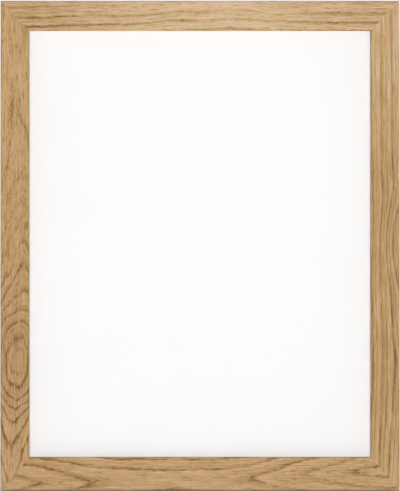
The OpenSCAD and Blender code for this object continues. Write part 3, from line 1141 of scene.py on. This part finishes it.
@dataclass(frozen=True)
class Studio:
    """The camera, the lamps, the pale floor and the white surround, in metres."""

    ambient: float = 0.1
    camera_away: float = 5.0
    camera_reach: float = 20.0
    sensor: float = 36.0
    centre_x: float = 0.1 * MM
    centre_up: float = 138.9 * MM
    floor_radius: float = 6.0
    floor_fade: tuple[float, float] = (0.4, 1.6)
    floor_colour: str = "#F3F2EF"
    floor_roughness: float = 0.9
    panels: tuple[Panel, ...] = (
        Panel("left_panel", -5.5, 15, 3.0, 0.16, 0.4, 0.325),
        Panel("right_panel", 5.5, 15, 3.0, 0.16, 0.4, 0.325),
        Panel("left_fill", -94, 25, 1.6, 1.4, 1.4, 0.26),
        Panel("right_fill", 94, 25, 1.6, 1.4, 1.4, 0.26),
        Panel("back_panel", 180, 38, 2.0, 2.4, 2.0, 0.56),
    )

    def set_up(self) -> None:
        """Builds the whole studio, and shows colours as they are written."""
        bpy.context.scene.view_settings.view_transform = "Standard"
        self._camera()
        self._world()
        self._floor()
        aim = STANCE.place() @ Vector((0, 0, self.centre_up))
        for panel in self.panels:
            panel.hang(aim)

    def _camera(self) -> None:
        """Sets the camera square to the leaning face, filling the picture's width with the frame."""
        lens = bpy.data.cameras.new("camera")
        lens.sensor_fit = "HORIZONTAL"
        lens.sensor_width = self.sensor
        shown = PHOTO.width / PHOTO.per_mm * MM
        lens.lens = self.sensor * self.camera_away / shown
        lens.clip_end = self.camera_reach
        camera = placed("camera", lens)
        spot = (self.centre_x, STANCE.front_y - self.camera_away, self.centre_up)
        stand = STANCE.place() @ Matrix.Translation(spot)
        camera.matrix_world = stand @ Matrix.Rotation(math.pi / 2, 4, "X")
        bpy.context.scene.camera = camera

    def _world(self) -> None:
        """Lights from all round, and looks white to the camera, in gloss and through glass."""
        world = bpy.data.worlds.new("surround")
        bpy.context.scene.world = world
        tree = ShaderTree(world)
        rays = tree.add("LightPath").outputs
        seen = rays["Is Camera Ray"]
        for ray in ("Is Glossy Ray", "Is Transmission Ray"):
            seen = tree.add("Math", (seen, rays[ray]), operation="MAXIMUM")
        strength = tree.add("MapRange", (seen, 0, 1, self.ambient, 1))
        light = tree.add("Background", {"Color": grey(1), "Strength": strength})
        tree.add("OutputWorld", {"Surface": light})

    def _floor(self) -> None:
        """Lays a pale floor that fades into the white surround and keeps the frame's shadow."""
        mesh = bpy.data.meshes.new("floor")
        work = bmesh.new()
        bmesh.ops.create_circle(work, cap_ends=True, segments=64, radius=self.floor_radius)
        work.to_mesh(mesh)
        work.free()
        floor = placed("floor", mesh)
        material, tree = new_material("pale_floor")
        space = tree.add("TexCoord").outputs["Object"]
        far = tree.add("VectorMath", (space,), operation="LENGTH").outputs["Value"]
        fade = tree.add("MapRange", (far, *self.floor_fade), interpolation_type="SMOOTHSTEP")
        seen = tree.add("LightPath").outputs["Is Camera Ray"]
        share = tree.add("Math", (fade, seen), operation="MULTIPLY")
        pale = {"Base Color": linear(self.floor_colour), "Roughness": self.floor_roughness}
        matt = tree.add("BsdfPrincipled", pale)
        white = tree.add("Emission", {"Color": grey(1), "Strength": 1.0})
        tree.add("OutputMaterial", {"Surface": tree.add("MixShader", (share, matt, white))})
        dress(floor, material)


@dataclass(frozen=True)
class Fittings:
    """Where the fasteners stand on the frame's back, in the frame's own millimetres."""

    height: float = 277.7
    outer_x: float = 113.0
    stile_wall: float = 10.7
    top_wall: float = 10.1
    bottom_wall: float = 12.0
    rail_button_x: float = 60.0
    stile_button_z: float = 70.0
    hanger_nail_x: float = 18.5

    def outward(self, x: float, depth: float, z: float, turn: float = 0) -> Matrix:
        """Gives the place of a fastener that stands out of the frame's back.

        Args:
            x: Millimetres right of the frame's middle.
            depth: Millimetres behind the frame's back.
            z: Millimetres up from the frame's lower edge.
            turn: Degrees clockwise round its own axis, seen from the front.

        Returns:
            The matrix that takes +Z to straight out of the back.
        """
        spot = Matrix.Translation((x * MM, depth * MM, z * MM))
        turned_round = Matrix.Rotation(math.radians(turn), 4, "Y")
        return STANCE.place() @ spot @ turned_round @ Matrix.Rotation(-math.pi / 2, 4, "X")

    def buttons(self) -> dict[str, tuple[float, float, float]]:
        """Places the turn buttons.

        Returns:
            Each button's node, with its screw's x and z and the degrees that it is turned at rest.
        """
        top = self.height - self.top_wall / 2
        low = self.bottom_wall / 2
        side = self.outer_x - self.stile_wall / 2
        middle = self.height / 2
        across, up = self.rail_button_x, self.stile_button_z
        return {
            "turn_button_top_left": (-across, top, 180),
            "turn_button_top_right": (across, top, 180),
            "turn_button_bottom_left": (-across, low, 0),
            "turn_button_bottom_right": (across, low, 0),
            "turn_button_left_upper": (-side, middle + up, 90),
            "turn_button_left_lower": (-side, middle - up, 90),
            "turn_button_right_upper": (side, middle + up, -90),
            "turn_button_right_lower": (side, middle - up, -90),
        }

    def hanger_nails(self) -> list[Matrix]:
        """Places the hangers' nails.

        Returns:
            The places of two in the top rail and two in the left stile.
        """
        top = self.height - self.top_wall / 2
        side = self.stile_wall / 2 - self.outer_x
        middle = self.height / 2
        reach = self.hanger_nail_x
        return [
            self.outward(-reach, 0, top), self.outward(reach, 0, top),
            self.outward(side, 0, middle - reach), self.outward(side, 0, middle + reach),
        ]


FITTINGS = Fittings()


@dataclass(frozen=True)
class TurnButtons:
    """Eight brassed turn buttons that hold the board in, each on its own cross-head screw.

    Lengths are millimetres, but the cross's half width and reach are shares of the head's radius, and
    head_turn is how many degrees each cross is turned on from the last.
    """

    thickness: float = 0.8
    lift: float = 0.15
    edge: float = 0.18
    rib_middle: float = 6.1
    rib: tuple[float, float, float] = (0.8, 0.28, 2.9)
    shank_r: float = 1.1
    shank_length: float = 9.0
    shank_sides: int = 24
    point_length: float = 1.6
    thread_pitch: float = 0.9
    thread_depth: float = 0.22
    head_r: float = 2.1
    head_rim: float = 0.5
    head_height: float = 1.3
    head_gap: float = 0.1
    head_edge: float = 0.06
    head_cells: int = 10
    head_fullness: float = 0.96
    head_turn: float = 20.0
    cross_half_width: float = 0.12
    cross_reach: float = 0.62
    cross_depth: float = 0.65
    cross_taper: float = 0.86

    def build(self, brassed: bpy.types.Material, bright: bpy.types.Material) -> None:
        """Makes the buttons, and the screws with each cross turned on from the last.

        Args:
            brassed: The buttons' finish.
            bright: The screws' finish.
        """
        places = []
        for i, (node, (x, z, turn)) in enumerate(FITTINGS.buttons().items()):
            plate = self._plate(node, FITTINGS.outward(x, 0, z, turn))
            stand_in(plate, node, brassed, body=node)
            places.append(FITTINGS.outward(x, 0, z, turn + self.head_turn * i))
        screws = new_piece("turn_button_screws_cross_head", repeated(self._screw(), places))
        round_edges(screws, self.head_edge)
        stand_in(screws, "turn_button_screws", bright)

    def _plate(self, node: str, place: Matrix) -> bpy.types.Object:
        """Makes one button's stamped plate, with the rib pressed along its arm.

        Args:
            node: The button's CAD node.
            place: Where its screw stands, with the arm along -Y.

        Returns:
            The plate.
        """
        plate = softened(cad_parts[node], f"{node}_plate", self.edge)
        work = bmesh.new()
        work.from_mesh(plate.data)
        rib = bmesh.ops.create_uvsphere(work, u_segments=24, v_segments=12, radius=MM)["verts"]
        wide, proud, long = self.rib
        bmesh.ops.scale(work, vec=(wide, long, proud), verts=rib)
        middle = (0, -self.rib_middle * MM, (self.lift + self.thickness) * MM)
        bmesh.ops.translate(work, vec=middle, verts=rib)
        bmesh.ops.transform(work, matrix=place, verts=rib)
        work.to_mesh(plate.data)
        work.free()
        shade(plate.data)
        return plate

    def _screw(self) -> bmesh.types.BMesh:
        """Makes one screw, a pointed thread under a domed head.

        Returns:
            The screw along +Z, with the wood's surface at zero.
        """
        under = self.lift + self.thickness + self.head_gap
        threads = int((self.shank_length - self.point_length) / self.thread_pitch) - 1
        profile = [(0.0, -self.shank_length)]
        for i in range(threads):
            root = self.point_length - self.shank_length + i * self.thread_pitch
            profile.append((self.shank_r - self.thread_depth, root))
            profile.append((self.shank_r, root + self.thread_pitch / 2))
        profile += [(self.shank_r, under + self.head_gap), (0.0, under + self.head_gap)]
        shank = turned(profile, self.shank_sides)
        return repeated(self._head(), [Matrix.Translation((0, 0, under * MM))], shank)

    def _head(self) -> bmesh.types.BMesh:
        """Makes a domed head with its cross pressed in, from a grid drawn out to a disc.

        Returns:
            The head, with its underside at zero.
        """
        work = bmesh.new()
        cells = self.head_cells
        bmesh.ops.create_grid(work, x_segments=cells, y_segments=cells, size=1)
        near = 2 / cells
        for vert in work.verts:
            for axis in (0, 1):
                if abs(abs(vert.co[axis]) - near) < near / 4:
                    vert.co[axis] = math.copysign(self.cross_half_width, vert.co[axis])
        cross = [
            face for face in work.faces
            if min(abs(c) for c in face.calc_center_median()[:2]) < self.cross_half_width
            and max(abs(c) for c in face.calc_center_median()[:2]) < self.cross_reach
        ]
        for vert in work.verts:
            x, y = vert.co.x, vert.co.y
            flat = Vector((x * math.sqrt(1 - y * y / 2), y * math.sqrt(1 - x * x / 2), 0))
            rise = math.sqrt(max(0.0, 1 - flat.length_squared * self.head_fullness))
            height = self.head_rim + (self.head_height - self.head_rim) * rise
            vert.co = Vector((flat.x * self.head_r, flat.y * self.head_r, height)) * MM
        rim = [edge for edge in work.edges if edge.is_boundary]
        wall = bmesh.ops.extrude_edge_only(work, edges=rim)["geom"]
        lower = [v for v in wall if isinstance(v, bmesh.types.BMVert)]
        bmesh.ops.scale(work, vec=(1, 1, 0), verts=lower)
        base = [e for e in wall if isinstance(e, bmesh.types.BMEdge)]
        bmesh.ops.contextual_create(work, geom=base)
        pressed = bmesh.ops.extrude_face_region(work, geom=cross)["geom"]
        bmesh.ops.delete(work, geom=cross, context="FACES")
        floor = [v for v in pressed if isinstance(v, bmesh.types.BMVert)]
        bmesh.ops.translate(work, vec=(0, 0, -self.cross_depth * MM), verts=floor)
        bmesh.ops.scale(work, vec=(self.cross_taper, self.cross_taper, 1), verts=floor)
        bmesh.ops.recalc_face_normals(work, faces=work.faces)
        return work


@dataclass(frozen=True)
class Hangers:
    """Two saw-tooth hangers of stamped steel, one for each way up, and their four nails.

    Lengths are millimetres.
    """

    edge: float = 0.15
    nail_r: float = 0.75
    nail_length: float = 8.0
    nail_point: float = 1.4
    strip: float = 0.7
    head_r: float = 1.6
    head_rim: float = 0.22
    head_height: float = 0.8

    def build(self, bright: bpy.types.Material) -> None:
        """Makes the hangers and the nails.

        Args:
            bright: Their finish.
        """
        for node in ("sawtooth_hanger_top", "sawtooth_hanger_side"):
            strip = softened(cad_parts[node], f"{node}_strip", self.edge)
            stand_in(strip, node, bright)
        nail = turned([
            (0.0, -self.nail_length),
            (self.nail_r, self.nail_point - self.nail_length),
            (self.nail_r, self.strip),
            (self.head_r, self.strip),
            *dome(self.head_r, self.strip + self.head_rim, self.strip + self.head_height),
        ])
        nails = new_piece("hanger_nails_domed", repeated(nail, FITTINGS.hanger_nails()))
        stand_in(nails, "hanger_nails", bright)


@dataclass(frozen=True)
class Strut:
    """The folding easel strut: a hardboard leaf, its two-part steel hinge, the pin and the rivets.

    Lengths are millimetres, and rises and drops are measured from the hinge pin. open_tilt is how many
    degrees the open leaf leans from upright.
    """

    board_edge: float = 0.4
    steel_edge: float = 0.16
    pin_height: float = 170.0
    pin_out: float = 2.9
    open_tilt: float = 15.0
    pin_r: float = 1.0
    pin_half: float = 12.8
    pin_head_r: float = 1.7
    pin_head_t: float = 0.6
    pin_head_rim: float = 0.15
    rivet_r: float = 1.3
    rivet_head_r: float = 2.5
    rivet_rim: float = 0.08
    rivet_head_h: float = 0.9
    clinch_r: float = 2.3
    clinch_t: float = 0.6
    clinch_ease: float = 0.2
    board_rivet_x: float = 8.0
    board_rivet_rises: tuple[float, float] = (12.0, 21.0)
    board_rivet_head: float = 0.6
    board_rivet_grip: float = 3.1
    strut_rivet_x: float = 6.0
    strut_rivet_drop: float = 13.0
    strut_rivet_head: float = 2.1
    strut_rivet_grip: float = 3.8

    def build(self, hardboard: bpy.types.Material, bright: bpy.types.Material) -> None:
        """Makes the strut.

        Args:
            hardboard: The leaf's finish.
            bright: The steel's finish.
        """
        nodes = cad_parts
        leaf = softened(nodes["strut_leaf"], "strut_leaf_board", self.board_edge)
        stand_in(leaf, "strut_leaf", hardboard, body="strut")
        base = softened(nodes["strut_hinge_base"], "strut_hinge_base_plate", self.steel_edge)
        stand_in(base, "strut_hinge_base", bright)
        clip = softened(nodes["strut_hinge_clip"], "strut_hinge_clip_plate", self.steel_edge)
        stand_in(clip, "strut_hinge_clip", bright, body="strut")
        self._pin(bright)
        self._rivets(bright)

    def _middle(self) -> Matrix:
        """Gives the middle of the hinge pin, with +Y out of the frame's back."""
        return STANCE.place() @ Matrix.Translation((0, self.pin_out * MM, self.pin_height * MM))

    def _pin(self, bright: bpy.types.Material) -> None:
        """Makes the pin, with a head peened over at each end.

        Args:
            bright: Its finish.
        """
        rim, tip = self.pin_half + self.pin_head_rim, self.pin_half + self.pin_head_t
        head = dome(self.pin_head_r, rim, tip)
        rod = turned([
            *((radius, -height) for radius, height in reversed(head)),
            (self.pin_head_r, -self.pin_half),
            (self.pin_r, -self.pin_half),
            (self.pin_r, self.pin_half),
            (self.pin_head_r, self.pin_half),
            *head,
        ])
        across = self._middle() @ Matrix.Rotation(math.pi / 2, 4, "Y")
        bmesh.ops.transform(rod, matrix=across, verts=rod.verts)
        stand_in(new_piece("strut_hinge_pin_rod", rod), "strut_hinge_pin", bright)

    def _rivet(self, grip: float) -> bmesh.types.BMesh:
        """Makes a domed rivet.

        Args:
            grip: The thickness that it holds together.

        Returns:
            The rivet along +Z, with the underside of its head at zero.
        """
        end = -grip - self.clinch_t
        return turned([
            (0.0, end),
            (self.clinch_r - self.clinch_ease, end),
            (self.clinch_r, self.clinch_ease + end),
            (self.clinch_r, -grip),
            (self.rivet_r, -grip),
            (self.rivet_r, 0.0),
            (self.rivet_head_r, 0.0),
            *dome(self.rivet_head_r, self.rivet_rim, self.rivet_head_h),
        ])

    def _rivets(self, bright: bpy.types.Material) -> None:
        """Makes the four rivets in the board and the two in the leaf.

        Args:
            bright: Their finish.
        """
        sides = (-1, 1)
        in_board = [
            FITTINGS.outward(side * self.board_rivet_x, self.board_rivet_head, self.pin_height + rise)
            for side in sides for rise in self.board_rivet_rises
        ]
        board = new_piece("board_rivets_domed", repeated(self._rivet(self.board_rivet_grip), in_board))
        stand_in(board, "board_rivets", bright)
        pin = Matrix.Translation(self._middle().translation)
        hung = pin @ Matrix.Rotation(math.radians(self.open_tilt), 4, "X")
        out, down = self.strut_rivet_head * MM, -self.strut_rivet_drop * MM
        outward = Matrix.Rotation(-math.pi / 2, 4, "X")
        in_leaf = [
            hung @ Matrix.Translation((side * self.strut_rivet_x * MM, out, down)) @ outward
            for side in sides
        ]
        leaf = new_piece("strut_rivets_domed", repeated(self._rivet(self.strut_rivet_grip), in_leaf))
        stand_in(leaf, "strut_rivets", bright, body="strut")


@dataclass(frozen=True)
class Moulding:
    """The four mitred oak members, and the V nails driven across their mitres."""

    boards: tuple[Board, ...] = (LEFT_STILE, RIGHT_STILE, TOP_RAIL, BOTTOM_RAIL)

    def build(self, oak: OakFinish, steel: bpy.types.Material) -> None:
        """Dresses the members and the nails, whose CAD shapes are kept.

        Args:
            oak: The members' finish.
            steel: The nails' finish.
        """
        for board in self.boards:
            dress(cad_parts[board.node], OakGrain(oak, board).build())
        dress(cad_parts["corner_v_nails"], steel)


@dataclass(frozen=True)
class SheetStack:
    """What the rabbet holds: the glass, the white insert, the filler card and the backing board."""

    board_edge: float = 0.35
    glass: GlassFinish = GlassFinish()
    # Calendered, so it is an even white with hardly a tooth. The card is unpressed, grey and mottled.
    paper: SheetFinish = SheetFinish(
        "smooth_white_paper", "#FBFBFC", "#FAFAFB", "#F9F9FA", 0.7, 0.3, 0.01
    )
    card: SheetFinish = SheetFinish(
        "grey_filler_card", "#ABA89F", "#98958C", "#817D74", 0.85, 0.6, 0.05
    )

    def build(self, hardboard: bpy.types.Material) -> None:
        """Dresses the flat sheets, and softens the board's sawn edges.

        Args:
            hardboard: The board's finish.
        """
        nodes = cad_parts
        dress(nodes["glass_pane"], self.glass.build())
        dress(nodes["picture_insert"], self.paper.build())
        dress(nodes["filler_card"], self.card.build())
        board = softened(nodes["backing_board"], "backing_board_panel", self.board_edge)
        stand_in(board, "backing_board", hardboard)


# Oil-tempered and pressed smooth, so it is a deep brown with a slight sheen and dark strands.
HARDBOARD = SheetFinish("tempered_hardboard", "#8A6644", "#6F4D30", "#4E331E", 0.5, 0.55, 0.05)
# A brass flash over steel, warm and the brighter of the two. Zinc is a cool grey, and duller.
BRASSED_STEEL = MetalFinish("brassed_steel", "#D9B870", "#B8924C", 0.28)
ZINC_STEEL = MetalFinish("zinc_plated_steel", "#B9BCBE", "#9A9EA1", 0.36)


def main() -> None:
    """Builds the frame's sub-assemblies in order and sets up the studio."""
    logging.basicConfig(level=logging.INFO, format="%(message)s")
    hardboard, bright = HARDBOARD.build(), ZINC_STEEL.build()
    Moulding().build(OakFinish(), bright)
    SheetStack().build(hardboard)
    TurnButtons().build(BRASSED_STEEL.build(), bright)
    Hangers().build(bright)
    Strut().build(hardboard, bright)
    Studio().set_up()


if __name__ == "__main__":
    main()
